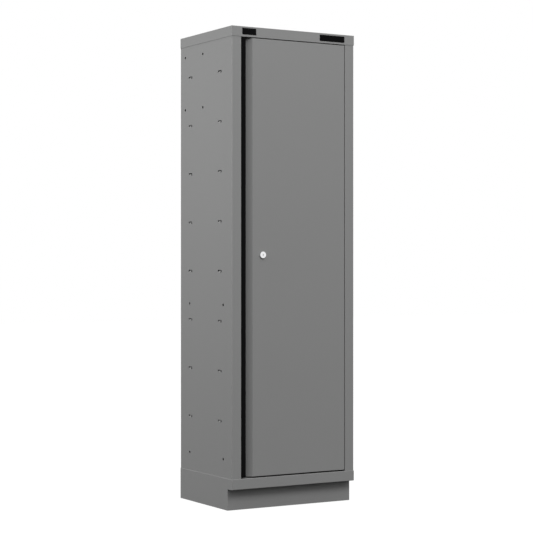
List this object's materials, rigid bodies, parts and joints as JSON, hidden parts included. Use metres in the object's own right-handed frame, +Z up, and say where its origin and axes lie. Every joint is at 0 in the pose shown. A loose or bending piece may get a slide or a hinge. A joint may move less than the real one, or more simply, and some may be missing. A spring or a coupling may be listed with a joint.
{
  "type": "tall side locker",
  "caption": "Tall one-door folded-steel side locker on a recessed toe-kick base, with a bevelled finger recess and black grip lip, a cam lock, removable shelves and levelling feet.",
  "frame": {"origin": "on the floor, at the middle of the 600 x 460 mm footprint of the cap and base", "axes": "+X to the right of someone facing the door (hinge side), +Y from the door to the back, +Z up"},
  "size_m": [0.6, 0.4667, 2],
  "materials": {
    "grey_powder_coat": "semi-matt grey powder coat with a fine even texture",
    "black_profile": "satin black extrusion",
    "chrome": "bright chrome",
    "zinc_plated_steel": "bright zinc plate",
    "blackened_steel": "black dip-painted steel, satin",
    "nylon": "black moulded nylon",
    "rubber": "matt black rubber"
  },
  "bodies": {
    "cabinet": {"side_panel_left": "grey_powder_coat", "side_panel_right": "grey_powder_coat", "back_panel": "grey_powder_coat", "header_rail": "grey_powder_coat", "top_cap": "grey_powder_coat", "floor_panel": "grey_powder_coat", "shelf_1": "grey_powder_coat", "shelf_2": "grey_powder_coat", "shelf_3": "grey_powder_coat", "shelf_4": "grey_powder_coat", "base_frame": "grey_powder_coat", "foot_bracket_1": "zinc_plated_steel", "foot_bracket_2": "zinc_plated_steel", "foot_bracket_3": "zinc_plated_steel", "foot_bracket_4": "zinc_plated_steel", "base_bolts": "zinc_plated_steel", "base_nuts": "zinc_plated_steel", "cap_nuts": "zinc_plated_steel", "hinge_bush_top": "nylon", "hinge_bush_bottom": "nylon", "door_buffers": "rubber"},
    "door": {"door_skin": "grey_powder_coat", "door_liner": "grey_powder_coat", "grip_profile": "black_profile", "hinge_plate_top": "blackened_steel", "hinge_plate_bottom": "blackened_steel", "hinge_pin_top": "blackened_steel", "hinge_pin_bottom": "blackened_steel", "lock_body": "chrome", "lock_nut": "zinc_plated_steel"},
    "lock_plug": {"lock_plug": "chrome", "lock_cam": "zinc_plated_steel", "cam_screw": "zinc_plated_steel"},
    "foot_1": {"foot_pad_1": "rubber", "foot_stud_1": "zinc_plated_steel"},
    "foot_2": {"foot_pad_2": "rubber", "foot_stud_2": "zinc_plated_steel"},
    "foot_3": {"foot_pad_3": "rubber", "foot_stud_3": "zinc_plated_steel"},
    "foot_4": {"foot_pad_4": "rubber", "foot_stud_4": "zinc_plated_steel"}
  },
  "joints": [
    {"name": "door_hinge", "type": "hinge", "parent": "cabinet", "child": "door", "pos_m": [0.246, -0.2227, 1], "axis": [0, 0, 1], "range_deg": [0, 105]},
    {"name": "lock_turn", "type": "hinge", "parent": "door", "child": "lock_plug", "pos_m": [-0.154, -0.2287, 1.057], "axis": [0, 1, 0], "range_deg": [0, 90]},
    {"name": "foot_1_slide", "type": "slide", "parent": "cabinet", "child": "foot_1", "axis": [0, 0, -1], "range_m": [0, 0.015]},
    {"name": "foot_2_slide", "type": "slide", "parent": "cabinet", "child": "foot_2", "axis": [0, 0, -1], "range_m": [0, 0.015]},
    {"name": "foot_3_slide", "type": "slide", "parent": "cabinet", "child": "foot_3", "axis": [0, 0, -1], "range_m": [0, 0.015]},
    {"name": "foot_4_slide", "type": "slide", "parent": "cabinet", "child": "foot_4", "axis": [0, 0, -1], "range_m": [0, 0.015]}
  ]
}
